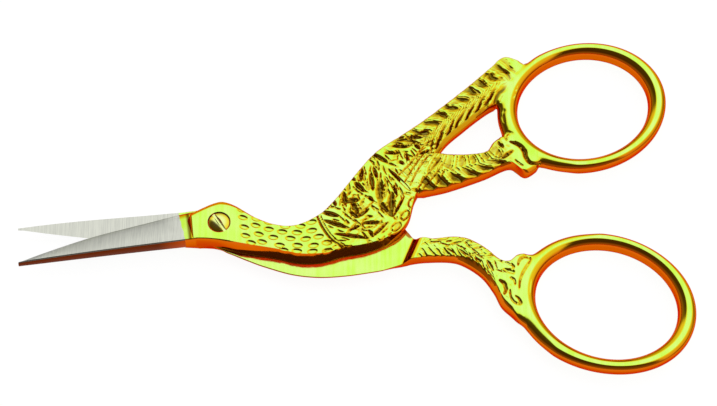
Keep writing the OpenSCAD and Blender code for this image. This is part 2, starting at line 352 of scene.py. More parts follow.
# Feather barbs: chisel cuts that trail off both sides of a spine
def barbTree(material):
    tree = newTree("featherBarbs", {
        "Pitch": 1.87, "Phase": 0.0, "Upper slope": 1.0, "Lower slope": 1.0, "Upper depth": 0.25,
        "Lower depth": 0.15, "Lower start": -0.1, "Cut share": 0.2, "Upper lean": 0.4,
        "Lower lean": 0.4, "Fine depth": 0.05, "Fine lines": 3.0, "Metal": material})
    add = partial(addNode, tree)
    given = add("NodeGroupInput").outputs
    along, across, spread, mask = (
        add("InputNamedAttribute", name) for name in ("along", "across", "spread", "barbs"))
    isUpper = add("GREATER_THAN", across, 0.0)

    def pickSide(upper, lower):
        isLower = add("SUBTRACT", 1.0, isUpper)
        return add("ADD", add("MULTIPLY", isUpper, upper), add("MULTIPLY", isLower, lower))

    slope = pickSide(given["Upper slope"], given["Lower slope"])
    shifted = add("ADD", along, add("MULTIPLY", add("ABSOLUTE", across), slope))
    turns = add("ADD", add("DIVIDE", shifted, given["Pitch"]), given["Phase"])
    # A cut ramps down from one side and has a steep wall on the other
    centred = add("SUBTRACT", add("FRACT", turns), 0.5)
    place = add("DIVIDE", centred, given["Cut share"])
    lean = pickSide(given["Upper lean"], given["Lower lean"])
    ramp = add("DIVIDE", add("ADD", 1.0, place), add("ADD", 1.0, lean))
    wall = add("DIVIDE", add("SUBTRACT", 1.0, place), add("SUBTRACT", 1.0, lean))
    cut = add("MAXIMUM", 0.0, add("SMOOTH_MIN", ramp, wall, 0.2))
    # Upper cuts are lens-shaped, lower ones deepen towards the edge and notch it
    arch = add("SINE", add("MULTIPLY", add("POWER", spread, 0.8), math.pi))
    lens = add("POWER", add("MAXIMUM", 0.0, arch), 0.7)
    deepening = add("MULTIPLY_ADD", spread, 2.4, given["Lower start"])
    notch = add("MAXIMUM", 0.0, add("SMOOTH_MIN", 1.0, deepening, 0.2))
    upperCut, lowerCut = (add("MULTIPLY", shape, given[label]) for shape, label in (
        (lens, "Upper depth"), (notch, "Lower depth")))
    main = add("MULTIPLY", cut, pickSide(upperCut, lowerCut))
    fineTurns = add("FRACT", add("MULTIPLY", turns, given["Fine lines"]))
    finePlace = add("ABSOLUTE", add("SUBTRACT", fineTurns, 0.5))
    fineShape = add("SUBTRACT", 1.0, add("DIVIDE", finePlace, 0.24))
    fine = add("MULTIPLY", add("MAXIMUM", 0.0, fineShape), given["Fine depth"])
    depth = add("MULTIPLY", add("MAXIMUM", main, fine), mask)
    finishCut(add, given["Geometry"], depth, given["Metal"])
    return tree


# Punched oval scales: each vertex looks for the nearest scale and sinks into it
def scaleTree(material):
    tree = newTree("punchedScales", {
        "Scale points": None, "Half length": 0.68, "Half width": 0.42, "Depth": 0.2, "Lean": 0.5,
        "Lip share": 0.55, "Metal": material})
    add = partial(addNode, tree)
    given = add("NodeGroupInput").outputs
    spots = add("ObjectInfo", {"Object": given["Scale points"]}).outputs["Geometry"]
    position = add("InputPosition")
    flat = add("VectorMath", position, (1, 1, 0), operation="MULTIPLY")
    nearest = add("SampleNearest", {"Geometry": spots, "Sample Position": flat})

    def fromScale(kind, value):
        return add("SampleIndex", {"Geometry": spots, "Value": value, "Index": nearest},
                   data_type=kind).outputs["Value"]

    centre = fromScale("FLOAT_VECTOR", position)
    turn, size = (fromScale("FLOAT", add("InputNamedAttribute", name)) for name in ("turn", "size"))
    offset = add("VectorMath", flat, centre, operation="SUBTRACT")
    turned = add("VectorRotate", {"Vector": offset, "Angle": add("MULTIPLY", turn, -1.0)},
                 rotation_type="Z_AXIS")
    local = add("SeparateXYZ", turned).outputs
    u = add("DIVIDE", local["X"], add("MULTIPLY", given["Half length"], size))
    v = add("DIVIDE", local["Y"], add("MULTIPLY", given["Half width"], size))
    inside = add("SUBTRACT", 1.0, add("MULTIPLY", u, u))
    reach = add("SQRT", add("MAXIMUM", 0.0001, inside))
    spot = add("DIVIDE", v, reach)
    # The floor slopes from a sharp lip to a steep wall, as the punch leaves it
    floor = add("DIVIDE", add("ADD", spot, 1.0), add("ADD", 1.0, given["Lean"]))
    lip = add("MINIMUM", 1.0, add("MULTIPLY", floor, 3.2))
    ramp = add("ADD", add("MULTIPLY", lip, given["Lip share"]),
               add("MULTIPLY", floor, add("SUBTRACT", 1.0, given["Lip share"])))
    wall = add("DIVIDE", add("SUBTRACT", 1.0, spot), add("SUBTRACT", 1.0, given["Lean"]))
    hollow = add("MAXIMUM", 0.0, add("SMOOTH_MIN", ramp, wall, 0.1))
    bowl = add("MULTIPLY", reach, hollow)
    mask = add("InputNamedAttribute", "scales")
    depth = add("MULTIPLY", bowl, add("MULTIPLY", given["Depth"], mask))
    # The scales' depth counts a quarter for the painted shade
    finishCut(add, given["Geometry"], depth, given["Metal"], 0.25)
    return tree


# Bar of both finger rings, in mm; each ring adds its own root, tilt and radii
ringBar = {"Bar wide": 1.82, "Bar end wide": 2.42, "Bar high": 2.25, "Root swell": 0.5,
           "Steps round": 240, "Bar sides": 48}
# Its outline: share of the way round, how far out, how high. A level crest, a long slope to
# the finger's side and a short one outside
barOutline = [
    (0.0, 1.0, 0.0), (0.09, 0.98, 0.4), (0.11, 0.94, 0.54), (0.17, 0.56, 0.93), (0.195, 0.46, 1.0),
    (0.25, 0.15, 1.0), (0.285, -0.06, 1.0), (0.305, -0.16, 0.95), (0.4, -0.8, 0.4),
    (0.42, -0.85, 0.28), (0.5, -0.96, -0.3), (0.55, -1.0, -0.55), (0.61, -0.86, -0.9),
    (0.67, -0.5, -1.0), (0.75, 0.0, -1.0), (0.83, 0.5, -0.93), (0.92, 0.93, -0.5), (1.0, 1.0, 0.0)]


# Finger ring: an oval path with a bar whose width and crest follow a rule
def ringTree(material):
    tree = newTree("fingerRing", {
        **ringBar, "Long": 10.0, "Short": 8.7, "Swell turn": 0.0, "Metal": material})
    add = partial(addNode, tree)
    given = add("NodeGroupInput").outputs
    grid = add("MeshGrid", {
        "Size X": 1.0, "Size Y": 1.0, "Vertices X": add("ADD", given["Steps round"], 1.0),
        "Vertices Y": add("ADD", given["Bar sides"], 1.0)})
    place = add("SeparateXYZ", add("InputPosition")).outputs
    t = add("MULTIPLY", add("ADD", place["X"], 0.5), 2 * math.pi)
    ct, st = add("COSINE", t), add("SINE", t)
    share = add("ADD", place["Y"], 0.5)

    # Reads the bar's outline: how far out, or how high, at a share of the way round it
    def outline(column):
        node = add("FloatCurve", {"Value": share})
        points = node.mapping.curves[0].points
        for row in barOutline[1:-1]:
            points.new(row[0], row[column] / 2 + 0.5)
        points[0].location = (0, barOutline[0][column] / 2 + 0.5)
        points[len(points) - 1].location = (1, barOutline[-1][column] / 2 + 0.5)
        node.mapping.update()
        return add("MULTIPLY_ADD", node, 2.0, -1.0)

    out, rise = outline(1), outline(2)
    ax, ay = add("DIVIDE", ct, given["Long"]), add("DIVIDE", st, given["Short"])
    squares = [add("MULTIPLY", a, a) for a in (ax, ay)]
    norm = add("SQRT", add("ADD", *squares))
    outX, outY = (add("DIVIDE", a, norm) for a in (ax, ay))
    # The bar is widest at both ends of the oval, and swells where the leg joins it
    wider = add("SUBTRACT", given["Bar end wide"], given["Bar wide"])
    wide = add("ADD", given["Bar wide"], add("MULTIPLY", wider, add("MULTIPLY", ct, ct)))
    fromRoot = add("COSINE", add("SUBTRACT", t, given["Swell turn"]))
    facing = add("MAXIMUM", 0.0, add("MULTIPLY", -1.0, fromRoot))
    swell = add("MULTIPLY", given["Root swell"], add("POWER", facing, 3.0))
    outerSwell = add("MULTIPLY", swell, add("GREATER_THAN", out, 0.0))
    half = add("ADD", add("DIVIDE", wide, 2.0), outerSwell)
    s = add("MULTIPLY", half, out)
    x = add("ADD", add("MULTIPLY", given["Long"], ct), add("MULTIPLY", outX, s))
    y = add("ADD", add("MULTIPLY", given["Short"], st), add("MULTIPLY", outY, s))
    z = add("MULTIPLY", add("DIVIDE", given["Bar high"], 2.0), rise)
    moved = add("SetPosition", {"Geometry": grid, "Position": add("CombineXYZ", x, y, z)})
    closed = add("MergeByDistance", {"Geometry": moved, "Distance": 0.001})
    endTree(add, closed, given["Metal"])
    return tree


def newMaterial(name):
    material = bpy.data.materials.new(name)
    material.use_nodes = True
    material.node_tree.nodes.clear()
    return material, partial(addNode, material.node_tree)


goldLooks = {
    "wall": "#e4690f",        # painted shade: side walls turn orange by their tilt
    "slope": "#dc7a0c",
    "shoulder": "#e2b413",
    "rise": "#e9e22a",
    "face": "#cdfe50",        # level faces, bright greenish gold
    "faceSheen": "#deff88",    # painted sheen: paler patches and strokes on level faces
    "ground": "#ece62c",      # painted shade, lightest: just below the face
    "cut": "#cf9a12",
    "recessShade": "#6e4a0c",      # painted shade, darkest: the bottom of the chisel cuts
    "stepFootShade": "#7a5c06",        # painted shade in the corner by the blade
    "cornerShade": "#b0520a",       # painted shade: the crescent's far corner
    "grazing": "#f08040",     # plating seen nearly edge on
    "steel": "#e4e6da",
    "steelDark": "#ced0c6",
    "steelEdgeShade": "#454645",
    "steelBackShade": "#2a2824",
    "steelSideShade": "#6e2a06",   # painted shade: the blade's back wall, dark brown
    "steelSideReflection": "#c04c0a",   # painted reflection: redder where the plating begins
    "plateEnd": -5.0,         # mm along X where the plating stops on the blades
    "plateWave": 0.16,        # mm that this line wanders
    "halvesMeet": 2.13,       # mm above the table, between the two halves
    "goldRough": (0.06, 0.13), "cutRough": 0.25, "steelRough": 0.34,
}


# Forged carbon steel, carved with chisels and punches, then electroplated with gold and
# buffed to bright mirror faces. Its colour carries painted shade: orange walls by their tilt,
# brown cuts by their depth. The blades are ground bare steel with fine lines across their
# length, with painted shade on the front blade's edge and back.
def platedSteel(looks):
    material, add = newMaterial("goldPlatedForgedSteel")
    place = add("TexCoord").outputs["Object"]
    xyz = add("SeparateXYZ", place).outputs
    normal = add("NewGeometry").outputs["Normal"]
    upright = add("ABSOLUTE", add("SeparateXYZ", normal).outputs["Z"])
    onFront = add("GREATER_THAN", xyz["Z"], looks["halvesMeet"] * millimetre)
    # The plated end of the blade's sloping face takes the level faces' colour, without the slopes'
    # painted shade
    onBlade = add("MapRange", xyz["X"], -0.0037, -0.0039, 0.0, 0.065)
    brighter = add("MULTIPLY", onBlade, add("GREATER_THAN", upright, 0.85))
    level = add("MINIMUM", 1.0, add("ADD", upright, brighter))
    # Painted shade by tilt: orange on walls, deeper yellows on slopes, bright greenish gold on level
    # faces
    gold = add("ValToRGB", level, stops=[
        (0.0, looks["wall"]), (0.4, looks["wall"]), (0.72, looks["slope"]), (0.86, looks["shoulder"]),
        (0.955, looks["rise"]), (0.993, looks["face"])])
    # Painted sheen: paler patches about 4 mm wide and fine strokes across the piece, like buffing marks
    # catching the light
    patches = add("TexNoise", {"Vector": place, "Scale": 240.0, "Detail": 2.0})
    across = add("Mapping", {"Vector": place, "Scale": (2600, 150, 150)})
    buffed = add("TexNoise", {"Vector": across, "Scale": 1.0, "Detail": 3.0})
    marks = add("ADD", add("MULTIPLY", patches, 0.6), add("MULTIPLY", buffed, 0.4))
    sheenShare = add("MapRange", marks, 0.38, 0.62)
    onFace = add("MapRange", level, 0.975, 0.998)
    # Painted shade in the cuts: their colour darkens with their depth in mm
    depth = add("Attribute", attribute_name="depth").outputs["Fac"]
    sunk = add("ValToRGB", depth, stops=[(0.05, 0.0), (0.24, 1.0)])
    cutShadeShare = add("ValToRGB", depth, stops=[(0.045, 0.0), (0.09, 0.6), (0.24, 0.86)])
    cutShade = add("ValToRGB", depth, stops=[
        (0.05, looks["ground"]), (0.14, looks["cut"]), (0.25, looks["recessShade"])])
    # Painted shade at the foot of the step from the front blade to the head
    foot = add("ADD", xyz["X"], add("MULTIPLY_ADD", xyz["Y"], 0.13, 0.00406))
    stepFootShade = add("ValToRGB", add("MULTIPLY_ADD", foot, 1 / millimetre, 0.8),
               stops=[(0.45, 0.0), (0.74, 0.88), (0.98, 0.92), (1.0, 0.0)])
    onStep = add("MULTIPLY", onFront, add("GREATER_THAN", upright, 0.55))
    # Painted shade: the crescent's far corner turns a dull red
    cornerShade = add("Attribute", attribute_name="farCornerShade").outputs["Fac"]
    for share, layer in [
            (add("MULTIPLY", sheenShare, onFace), looks["faceSheen"]), (cutShadeShare, cutShade),
            (add("MULTIPLY", stepFootShade, onStep), looks["stepFootShade"]),
            (add("MULTIPLY", cornerShade, 0.9), looks["cornerShade"])]:
        gold = add("Mix", {0: share, 6: gold, 7: layer}, data_type="RGBA").outputs[2]

    # Ground steel: lines about 0.15 mm apart that run across the blade
    stretch = add("Mapping", {"Vector": place, "Scale": (8500, 260, 260)})
    lines = add("TexNoise", {"Vector": stretch, "Scale": 1.0, "Detail": 3.0, "Roughness": 0.6})
    ground = add("ValToRGB", lines, stops=[(0.3, looks["steelDark"]), (0.62, looks["steel"])])
    # Painted shade: the front blade's outer face darkens towards its edge, except near the root
    height = add("MapRange", xyz["Z"], 0.0023, 0.0036, 0.62, 1.0)
    nearRoot = add("MapRange", xyz["X"], -0.013, -0.0055)
    onRear = add("LESS_THAN", xyz["Z"], looks["halvesMeet"] * millimetre)
    fine = add("MAXIMUM", add("MAXIMUM", height, nearRoot), onRear)
    steel = add("Mix", {0: fine, 6: looks["steelEdgeShade"], 7: ground}, data_type="RGBA").outputs[2]
    # Painted shade: its back is dark and its back wall brown, with a painted red reflection near the
    # root
    towardsRoot = add("MapRange", xyz["X"], -0.008, -0.0048)
    sideShade = add("ValToRGB", towardsRoot, stops=[(0.0, looks["steelSideShade"]), (1.0, looks["steelSideReflection"])])
    ownNormal = add("TexCoord").outputs["Normal"]
    backwards = add("LESS_THAN", add("SeparateXYZ", ownNormal).outputs["Y"], -0.3)
    onBack = add("MULTIPLY", backwards, onFront)
    onSide = add("MULTIPLY", onBack, add("LESS_THAN", upright, 0.5))
    for share, layer in [(add("MULTIPLY", onBack, 0.75), looks["steelBackShade"]), (onSide, sideShade)]:
        steel = add("Mix", {0: share, 6: steel, 7: layer}, data_type="RGBA").outputs[2]
    # The plating ends in a line that wanders and slants across the blades
    wander = add("TexNoise", {"Vector": place, "Scale": 900.0, "Detail": 2.0})
    wave = add("MULTIPLY", add("SUBTRACT", wander, 0.5), 2 * looks["plateWave"] * millimetre)
    edge = add("ADD", wave, add("MULTIPLY", xyz["Y"], -0.22))
    bare = add("LESS_THAN", xyz["X"], add("ADD", edge, looks["plateEnd"] * millimetre))
    colour = add("Mix", {0: bare, 6: gold, 7: steel}, data_type="RGBA").outputs[2]

    polish = add("TexNoise", {"Vector": place, "Scale": 2500.0, "Detail": 3.0})
    roughGold = add("MapRange", polish, 0.0, 1.0, *looks["goldRough"])
    roughSunk = add("ADD", roughGold, add("MULTIPLY", sunk, looks["cutRough"]))
    rough = add("Mix", {0: bare, 2: roughSunk, 3: looks["steelRough"]})
    grit = add("Mix", {0: bare, 2: polish, 3: lines})
    bump = add("Bump", {"Strength": 0.12, "Distance": 0.02 * millimetre, "Height": grit})
    tint = add("Mix", {0: bare, 6: looks["grazing"], 7: "#ffffff"}, data_type="RGBA")
    shader = add("BsdfPrincipled", {
        "Base Color": colour, "Metallic": 1.0, "Roughness": rough, "Normal": bump,
        "Specular Tint": tint.outputs[2]})
    add("OutputMaterial", shader)
    return material


screwLooks = {"wall": "#a85208", "rim": "#d89a20", "shoulder": "#f2e640", "face": "#effc9c",
              "rough": (0.1, 0.18)}


# Turned brass, plated and polished on a lathe: tight, bright round reflections
def turnedBrass(looks):
    material, add = newMaterial("goldPlatedTurnedBrass")
    normal = add("NewGeometry").outputs["Normal"]
    level = add("ABSOLUTE", add("SeparateXYZ", normal).outputs["Z"])
    # Painted shade by tilt: brown on the walls, pale on the level face
    colour = add("ValToRGB", level, stops=[
        (0.3, looks["wall"]), (0.8, looks["rim"]), (0.9, looks["shoulder"]),
        (0.97, looks["face"])])
    place = add("TexCoord").outputs["Object"]
    marks = add("TexNoise", {"Vector": place, "Scale": 3000.0, "Detail": 2.0})
    rough = add("MapRange", marks, 0.0, 1.0, *looks["rough"])
    shader = add("BsdfPrincipled", {"Base Color": colour, "Metallic": 1.0, "Roughness": rough})
    add("OutputMaterial", shader)
    return material


plated = platedSteel(goldLooks)
brass = turnedBrass(screwLooks)
barbs = barbTree(plated)
scales = scaleTree(plated)
ringRule = ringTree(plated)
print("stork scissors: materials and node trees made")

# Where the two halves meet, in mm above the table, as the part has it
levels = {"rearTop": 2.1, "jointPlane": 2.125, "frontLow": 2.15}
bladeShape = {"rows": 90, "faceColumns": 9, "buriedHigh": 1.6, "rootHigh": 2.1, "tipHigh": 0.95,
              "bevelWide": 0.55, "bevelHigh": 0.4, "chamfer": 0.2}
creaseAngle = 48    # degrees past which two faces meet in a sharp edge


def ringCentre(ring):
    turn = math.radians(ring["tilt"])
    x, y = ring["root"]
    return x + ring["Long"] * math.cos(turn), y + ring["Long"] * math.sin(turn)


def makeRing(name, ring):
    piece = newObject(name, bpy.data.meshes.new(name))
    useTree(piece, ringRule, {**ring, "Metal": plated})
    bakeModifiers(piece)
    tilt = Matrix.Rotation(math.radians(ring["tilt"]), 4, "Z")
    piece.data.transform(Matrix.Translation((*ringCentre(ring), levels["jointPlane"])) @ tilt)
    putAttribute(piece, "depth", np.zeros(len(piece.data.vertices)))
    fixWinding(piece)
    return piece


# Ground blade: flat inner face, cutting bevel, sloping outer face, chamfered back. Its side
# is 1 where the outer face looks up and -1 where it looks down.
def makeBlade(name, blade, inner, side):
    count, last = blade["rows"], len(blade["edge"]) - 1
    at = np.linspace(last, 0, count)
    u, v = smoothLine(blade["edge"], at), smoothLine(blade["back"], at)
    wide = np.hypot(*(v - u).T)
    along = (v - u) / wide[:, None]
    tall = np.interp(at, [0, 1, last], [blade["buriedHigh"], blade["rootHigh"], blade["tipHigh"]])
    bevel = np.minimum(blade["bevelWide"], wide * 0.48)
    rise = np.minimum(blade["bevelHigh"], tall * 0.48)
    chamfer = np.minimum(blade["chamfer"], wide * 0.24)
    zero = np.zeros(count)
    places, heights = [zero, zero + 0.03, bevel], [zero, zero + 0.06, rise]
    for part in np.linspace(0, 1, blade["faceColumns"])[1:]:
        places.append(bevel + (wide - chamfer - bevel) * part)
        heights.append(rise + (tall - rise) * part)
    places += [wide, wide]
    heights += [tall - chamfer, zero]
    for part in np.linspace(1, 0, blade["faceColumns"])[1:-1]:
        places.append(wide * part)
        heights.append(zero)
    s, h = np.stack(places, 1), np.stack(heights, 1)
    plan = u[:, None, :] + along[:, None, :] * s[:, :, None]
    piece = meshFromRows(name, np.concatenate([plan, (inner + side * h)[:, :, None]], -1))
    putAttribute(piece, "depth", np.zeros_like(s))
    piece.data.materials.append(plated)
    return piece


# Upright round stick that bores a hole
def makePeg(name, diameter, low, high):
    sides = 96
    turns = np.linspace(0, 2 * math.pi, sides, endpoint=False)
    circle = np.stack([np.cos(turns), np.sin(turns)], 1) * diameter / 2
    rows = np.stack([np.column_stack([circle, np.full(sides, z)]) for z in (low, high)])
    piece = meshFromRows(name, rows)
    piece.data.materials.append(plated)
    return piece


# Joins or cuts closed shells into one closed skin
def combine(piece, others, operation):
    for other in others:
        modifier = piece.modifiers.new("combine", "BOOLEAN")
        modifier.operation, modifier.solver, modifier.object = operation, "MANIFOLD", other
        bpy.context.view_layer.update()
        bakeModifiers(piece)
        bpy.data.objects.remove(other)
    return piece


# Fillet where a leg runs into a ring: the skin near that seam is relaxed
def softenSeam(piece, ring):
    rounds, pull = 26, 0.6    # how often, and how far towards its neighbours a point moves
    turn, long, short = math.radians(ring["tilt"]), ring["Long"], ring["Short"]
    p = readPoints(piece)
    dx, dy = (p[:, k] - ringCentre(ring)[k] for k in (0, 1))
    u, v = dx * math.cos(turn) + dy * math.sin(turn), -dx * math.sin(turn) + dy * math.cos(turn)
    out = (np.hypot(u / long, v / short) - 1) * (long + short) / 2    # mm outside the oval
    weight = between(out, -0.1, 0.4, 1.5, 2.0) * (1 - smoothStep(-0.55, -0.35, u / long))
    edges = np.zeros(len(piece.data.edges) * 2, np.int32)
    piece.data.edges.foreach_get("vertices", edges)
    edges = edges.reshape(-1, 2)
    edges = edges[(weight[edges] > 0).any(1)]
    ends, others = np.concatenate([edges, edges[:, ::-1]]).T
    count = np.maximum(np.bincount(ends, minlength=len(p)), 1)
    for _ in range(rounds):
        mean = np.stack([np.bincount(ends, p[others, k], len(p)) for k in range(3)], 1) / count[:, None]
        p += (pull * weight)[:, None] * np.where((count > 1)[:, None], mean - p, 0)
    writePoints(piece, p)


# Scroll grooves that cross from a leg onto its ring
def cutScrolls(piece, scrolls):
    p = readPoints(piece)
    x, y = p[:, 0], p[:, 1]
    depth = np.max([lineCuts(x, y, points, wide, deep) for points, wide, deep in scrolls], 0)
    depth = depth * smoothStep(2.5, 2.75, p[:, 2]) * (1 + 0.25 * grain(x, y, 0.3, 41))
    putAttribute(piece, "depth", np.maximum(readAttribute(piece, "depth"), depth))
    p[:, 2] -= depth
    writePoints(piece, p)


# To metres, sharp edges where two faces meet steeply, and onto its body
def finishPiece(piece, body, node, angle):
    piece.data.transform(Matrix.Scale(millimetre, 4))
    piece.data.shade_smooth()
    piece.data.set_sharp_from_angle(angle=math.radians(angle))
    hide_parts(node)
    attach(piece, body)
    print("stork scissors:", piece.name, len(piece.data.polygons), "faces")


frontShape = {
    "upper": [
        [-4.6, 0.9], [-3.8, 1.4], [-2.2, 2.3], [-0.7, 3.0], [0.5, 3.2], [2.2, 2.5], [4.8, 0.8],
        [7.6, -0.3], [10.3, -0.3], [13.2, 1.2], [15.2, 3.3], [16.9, 5.7], [18.8, 8.4],
        [21.0, 11.1], [24.4, 13.8], [28.4, 17.0], [32.8, 20.8], [36.2, 23.95],
        [38.3, 25.85], [41.1, 24.95]],
    "lower": [
        [-4.2, -2.6], [-3.4, -2.5], [-2.0, -2.5], [-0.8, -2.6], [0.6, -2.8], [2.5, -3.2], [5.0, -3.7],
        [7.7, -4.2], [10.8, -4.9], [13.8, -4.8], [16.7, -3.95], [19.75, -3.3], [22.7, -2.05],
        [24.95, 0.15], [26.25, 4.6], [29.4, 11.4], [32.8, 15.0], [36.2, 17.8],
        [37.8, 18.2], [39.0, 17.4]],
    "lows": [[13.67, 2.15], [14.019, 0.725]],
    "highs": [
        [0, 2.55], [0.5, 2.95], [0.8, 3.6], [1, 4.25], [10, 4.25], [14.5, 3.525], [17, 3.525],
        [19, 3.07]],
    "lowIn": [[4, 0.12], [5, 0.04], [11.7, 0.04], [12.6, 0.9]],
    "lowDrop": [[4, 0.15], [5, 0.05], [11.7, 0.05], [12.6, 1.4]],
    "highIn": [
        [0, 0.2], [3.5, 0.25], [5, 0.45], [12.4, 0.44], [14, 0.4], [14.6, 0.8], [16.4, 0.85],
        [17.2, 0.8]],
    "highDrop": [
        [0, 0.6], [3.5, 0.8], [5, 1.95], [11.7, 1.95], [12.6, 1.0], [14.2, 1.2], [14.7, 0.5],
        [16.4, 0.52], [17.2, 1.1]],
    "farIn": [
        [0, 0.3], [1, 0.55], [4, 0.62], [5.6, 0.3], [7, 0.18], [12.5, 0.2], [14.5, 0.4], [16.5, 0.4],
        [17.5, 0.25]],
    "farDrop": [[0, 0.3], [1, 0.42], [4, 0.45], [5.6, 0.3], [7, 0.25], [12.5, 0.3], [14.5, 1.2]],
    "flat": [[4, 0], [6.5, 1], [12, 1], [13, 0], [14.2, 0], [14.6, 1], [16.6, 1], [17, 0]],
    "farFlat": [[5, 1], [7, 0]],
    "crown": [[11, 0.0], [14.5, 0.12]],
    "push": [[3.5, 0], [5, 0.2], [8, 0.14], [12, 0.14], [13, 0]],
    "spine": [[0, 0.5], [14, 0.42], [15, 0.42], [17, 0.5]], "barbWave": 0.28,
    "rowSpacing": [[5, 0.14], [6, 0.11], [10, 0.105]], "columns": 88,
}
frontBarbs = {
    "Pitch": 1.87, "Phase": 0.35, "Upper depth": 0.28, "Lower depth": 0.36, "Lower start": -0.3,
    "Cut share": 0.31, "Fine depth": 0.085, "Metal": plated}
frontLegShape = {
    "upper": [
        [24.6, 9.6], [28.2, 11.0], [30.6, 10.9], [33.2, 10.9], [35.5, 11.3], [36.6, 12.8],
        [38.9, 14.7]],
    "lower": [
        [23.4, 3.2], [26.6, 4.8], [30.4, 5.8], [35.2, 7.6], [38.9, 9.3], [41.0, 8.0], [43.3, 9.7]],
    "lows": [[0.67, 2.15], [1.139, 0.875], [5, 0.875], [6, 1.18]],
    "highs": [[0, 3.53], [1.0, 3.5], [2.4, 3.375], [5, 3.375], [6, 3.07]],
    "highIn": [[0, 0.4], [1, 0.6], [3.2, 0.6], [3.8, 0.5]], "highDrop": [[3.2, 1.2], [3.8, 0.46]],
    "flat": [[3.2, 0], [3.7, 1]], "crown": [[0, 0.05]], "spine": [[0, 0.5]], "barbWave": 0.14,
    "rowSpacing": [[0, 0.1]], "columns": 56,
}
frontLegBarbs = {
    "Pitch": 1.9, "Phase": 0.1, "Upper slope": -0.3, "Lower slope": -0.84, "Upper depth": 0.13,
    "Lower depth": 0.36, "Lower start": -0.2, "Cut share": 0.33, "Fine depth": 0.095, "Metal": plated}
upperRing = {"root": (39.1, 15.4), "tilt": 17, "Long": 10.15, "Short": 8.7, "Swell turn": 0.0}
frontBlade = dict(
    bladeShape,
    edge=[[-0.5, 1.9], [-3.0, 2.6], [-10.4, 0.65], [-17.4, -1.4], [-23.0, -3.5], [-26.2, -4.85]],
    back=[[-0.5, -2.1], [-3.0, -2.5], [-10.4, -3.4], [-17.4, -4.3], [-23.0, -5.05], [-26.4, -5.5]])
bodyLeaves = [
    [13.58, 1.51, 15.82, 0.89, 0.74], [13.82, 0.25, 17.04, -0.8, 0.69],
    [15.2, -1.7, 19.84, -2.27, 0.62], [18.88, 0.0, 21.61, 0.12, 0.66],
    [17.04, -1.21, 18.63, -0.39, 0.54], [22.32, 0.19, 20.19, -2.03, 0.57],
    [19.82, -1.11, 20.39, -2.03, 0.54], [17.25, 1.67, 18.47, 0.8, 0.66],
    [18.08, 0.8, 19.76, 2.04, 0.72], [16.42, 4.46, 16.7, 2.72, 0.9],
    [16.09, 3.09, 18.47, 3.47, 0.9], [17.58, 3.09, 18.3, 1.42, 1.02],
    [17.97, 6.02, 19.13, 4.77, 0.84], [17.3, 6.77, 18.03, 6.39, 0.48],
    [18.91, 8.14, 18.72, 6.27, 0.74], [20.02, 7.52, 20.35, 4.96, 0.74],
    [20.41, 8.43, 20.91, 6.77, 0.6], [21.32, 6.48, 21.34, 3.22, 1.37],
    [22.84, 4.58, 22.77, 1.24, 1.25], [23.12, 5.71, 23.5, 4.34, 0.5],
    [24.55, 4.19, 23.02, 1.05, 0.48], [19.74, 3.9, 20.4, 3.34, 0.54],
    [21.23, 3.09, 22.39, 1.85, 0.96], [15.1, 3.22, 15.43, 2.47, 0.54]]
shallowLeaves = [
    [18.63, 2.47, 19.19, 3.71, 0.48], [17.08, 6.08, 17.2, 4.09, 0.6],
    [19.41, 6.08, 19.63, 4.96, 0.48], [21.85, 7.21, 22.4, 5.08, 0.48]]
wingLeaves = [
    [20.29, 10.57, 22.25, 9.24, 0.74], [22.36, 8.26, 25.34, 5.05, 0.54],
    [25.51, 5.24, 27.17, 4.93, 0.42], [21.87, 10.69, 23.99, 10.69, 0.54],
    [22.99, 11.77, 25.22, 11.7, 0.72], [24.73, 13.16, 26.91, 13.1, 0.72],
    [26.0, 12.02, 26.61, 11.39, 0.6], [26.44, 10.57, 28.01, 11.13, 0.54],
    [24.82, 10.63, 25.2, 8.93, 0.54], [23.87, 9.37, 24.53, 8.99, 0.48],
    [25.54, 8.93, 27.88, 9.37, 0.48]]
# Long chisel lines that fan out where the wing and the leg part
fanLines = [
    [[26.04, 4.94], [28.24, 8.4], [29.4, 10.05]], [[27.06, 4.45], [28.82, 6.09], [29.99, 8.4]],
    [[25.3, 5.76], [26.47, 8.4], [28.24, 11.03]], [[23.54, 7.08], [25.3, 9.06], [27.06, 11.69]],
    [[26.6, 5.0], [28.6, 7.4], [29.7, 9.2]], [[24.6, 6.3], [25.9, 8.8], [27.6, 11.3]]]
neckBorder = [[12.96, 0.88], [13.46, -0.42], [14.24, -1.77], [15.12, -2.75], [16.44, -3.67]]
# Centres of the punched scales on the neck, then the larger outlined ones at the body's edge
neckScales = [
    [2.97, 1.78], [3.13, 0.65], [3.33, -0.75], [3.51, -2.01], [4.27, -3.06], [4.88, 0.47],
    [4.83, -0.5], [5.26, -1.79], [5.71, -2.93], [6.58, -0.04], [6.57, -1.06], [7.18, -2.27],
    [8.03, -3.43], [8.52, -4.15], [8.74, -0.65], [8.34, -1.45], [9.43, -2.42], [10.38, -3.46],
    [10.32, -4.28], [10.74, -0.58], [10.3, -1.56], [11.45, -2.49], [12.5, -3.46], [12.37, -4.33],
    [12.21, 0.0], [12.25, -1.26], [13.16, -2.15], [14.27, -3.01], [14.34, -4.23], [15.7, -3.65]]
edgeScales = [[25.55, 3.25, 68], [24.6, 1.3, 56], [23.4, -0.45, 44]]
frontCuts = {
    "leafDepth": 0.32, "shallowDepth": 0.12, "fillDepth": 0.14, "fillCount": 170, "fillSeed": 31,
    "wall": 0.42,            # share of a cut's width that its sloping wall takes up
    "borderDepth": 0.22, "ovalDepth": 0.17, "fanDepth": 0.15, "legDepth": 0.26,
    "grainDepth": 0.03, "strokeDepth": 0.085, "roughDepth": 0.09,
    "windowShade": 0.15,     # painted shade: the wing's wall by the window is coloured as deep as this
}
legLeaves = [[37.67, 10.04, 39.18, 11.3, 0.72], [37.12, 12.57, 37.85, 11.64, 0.61]]
neckPunch = {"Half length": 0.66, "Half width": 0.4, "Depth": 0.17, "Lean": 0.5, "Lip share": 0.5,
             "Metal": plated}
